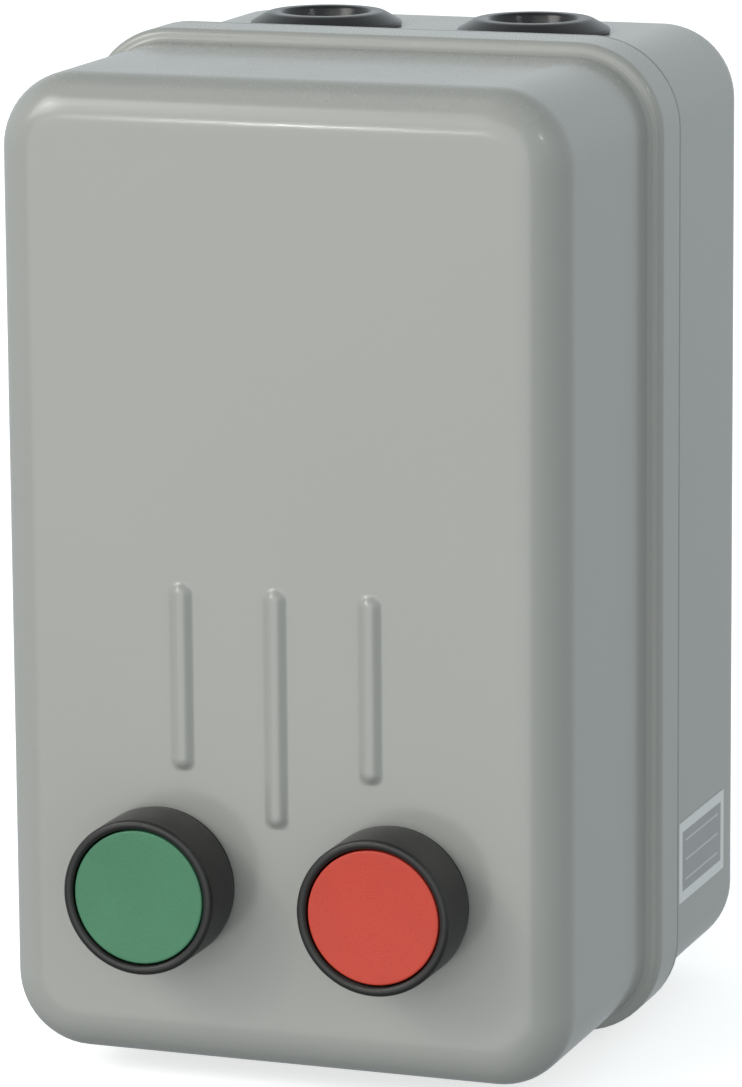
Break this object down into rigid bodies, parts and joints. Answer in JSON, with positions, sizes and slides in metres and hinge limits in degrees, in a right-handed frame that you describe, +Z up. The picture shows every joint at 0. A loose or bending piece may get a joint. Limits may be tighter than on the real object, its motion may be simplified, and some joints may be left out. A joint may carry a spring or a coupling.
{
  "type": "magnetic motor starter",
  "caption": "Wall-mounted motor starter: grey pressed steel box, deep front cover with a flared rim, green start and red stop push buttons, contactor and overload relay inside.",
  "frame": {"origin": "centre of the back face, on the wall, midway between the four wall screw holes", "axes": "+X right seen from the front, +Y into the wall, +Z up"},
  "size_m": [0.1048, 0.1155, 0.1756],
  "materials": {
    "painted_steel": "grey gloss enamel",
    "seal_rubber": "black rubber",
    "label_film": "blank printed film",
    "zinc_steel": "bright zinc plate",
    "painted_tongue": "grey gloss enamel",
    "brass": "machined brass",
    "ivory_moulding": "thermoset moulding",
    "black_moulding": "satin moulding",
    "grey_moulding": "satin moulding",
    "core_steel": "laminated steel",
    "copper": "enamelled copper wire",
    "spring_steel": "spring steel",
    "green_cap": "satin coloured plastic",
    "red_cap": "satin coloured plastic",
    "white_plastic": "nylon",
    "blue_plastic": "coloured plastic",
    "dial_plastic": "coloured plastic",
    "lead_insulation": "insulated wire"
  },
  "bodies": {
    "root": {"rear_box": "painted_steel", "cover_gasket": "seal_rubber", "top_grommets": "seal_rubber", "bottom_grommets": "seal_rubber", "side_label": "label_film", "earth_stud": "brass", "mounting_plate": "zinc_steel", "plate_standoffs": "zinc_steel", "plate_screws": "zinc_steel", "contactor_base": "ivory_moulding", "contactor_housing": "ivory_moulding", "contactor_front_cover": "black_moulding", "coil_terminals": "zinc_steel", "contactor_terminal_screws": "zinc_steel", "fixed_core": "core_steel", "coil_bobbin": "black_moulding", "coil_winding": "copper", "armature_springs": "spring_steel", "line_contacts": "brass", "load_contacts": "brass", "relay_housing": "black_moulding", "relay_front_cover": "grey_moulding", "relay_terminal_screws": "zinc_steel", "relay_prongs": "brass", "relay_load_strips": "brass", "bimetal_strips": "spring_steel", "start_switch_housing": "black_moulding", "start_switch_contacts": "brass", "start_switch_screws": "zinc_steel", "start_switch_spring": "spring_steel", "start_switch_bracket": "zinc_steel", "coil_lead": "lead_insulation", "hold_lead": "lead_insulation", "cover_screw": "zinc_steel", "cover_weld_nut": "zinc_steel"},
    "cover": {"cover_shell": "painted_steel", "cover_tongues": "painted_tongue", "start_bezel": "black_moulding", "stop_bezel": "black_moulding", "button_seals": "seal_rubber", "lock_nuts": "zinc_steel", "start_return_spring": "spring_steel", "stop_return_spring": "spring_steel"},
    "start_button": {"start_cap": "green_cap", "start_plunger": "white_plastic", "start_retaining_clip": "spring_steel"},
    "stop_button": {"stop_cap": "red_cap", "stop_plunger": "white_plastic", "stop_retaining_clip": "spring_steel"},
    "armature": {"moving_core": "core_steel", "contact_carrier": "black_moulding", "contact_bridges": "brass", "contact_springs": "spring_steel"},
    "start_contact": {"start_switch_plunger": "white_plastic", "start_switch_bridge": "brass"},
    "relay_reset": {"reset_button": "blue_plastic"},
    "relay_dial": {"current_dial": "dial_plastic"},
    "trip_bar": {"trip_slider": "white_plastic"}
  },
  "joints": [
    {"name": "cover_slide", "type": "slide", "parent": "root", "child": "cover", "axis": [0, -1, 0], "range_m": [0, 0.12]},
    {"name": "start_press", "type": "slide", "parent": "cover", "child": "start_button", "axis": [0, 1, 0], "range_m": [0, 0.004], "stiffness_N_per_m": 1000, "springref_m": -0.004, "deforming": ["start_return_spring"]},
    {"name": "stop_press", "type": "slide", "parent": "cover", "child": "stop_button", "axis": [0, 1, 0], "range_m": [0, 0.004], "stiffness_N_per_m": 1000, "springref_m": -0.004, "deforming": ["stop_return_spring"]},
    {"name": "start_contact_press", "type": "slide", "parent": "root", "child": "start_contact", "axis": [0, 1, 0], "range_m": [0, 0.004], "stiffness_N_per_m": 400, "springref_m": -0.004, "deforming": ["start_switch_spring"]},
    {"name": "reset_press", "type": "slide", "parent": "root", "child": "relay_reset", "axis": [0, 1, 0], "range_m": [0, 0.004], "stiffness_N_per_m": 300, "springref_m": -0.004},
    {"name": "armature_pull", "type": "slide", "parent": "root", "child": "armature", "axis": [0, 1, 0], "range_m": [0, 0.005], "stiffness_N_per_m": 1200, "springref_m": -0.005, "deforming": ["armature_springs"]},
    {"name": "dial_turn", "type": "hinge", "parent": "root", "child": "relay_dial", "pos_m": [0.001, -0.075, -0.027], "axis": [0, -1, 0], "range_deg": [-130, 130]},
    {"name": "trip_slide", "type": "slide", "parent": "root", "child": "trip_bar", "axis": [1, 0, 0], "range_m": [0, 0.002], "stiffness_N_per_m": 300, "springref_m": -0.002}
  ],
  "couplings": [
    {"joint": "start_contact_press", "follows": "start_press", "ratio": 1},
    {"joint": "reset_press", "follows": "stop_press", "ratio": 1}
  ]
}
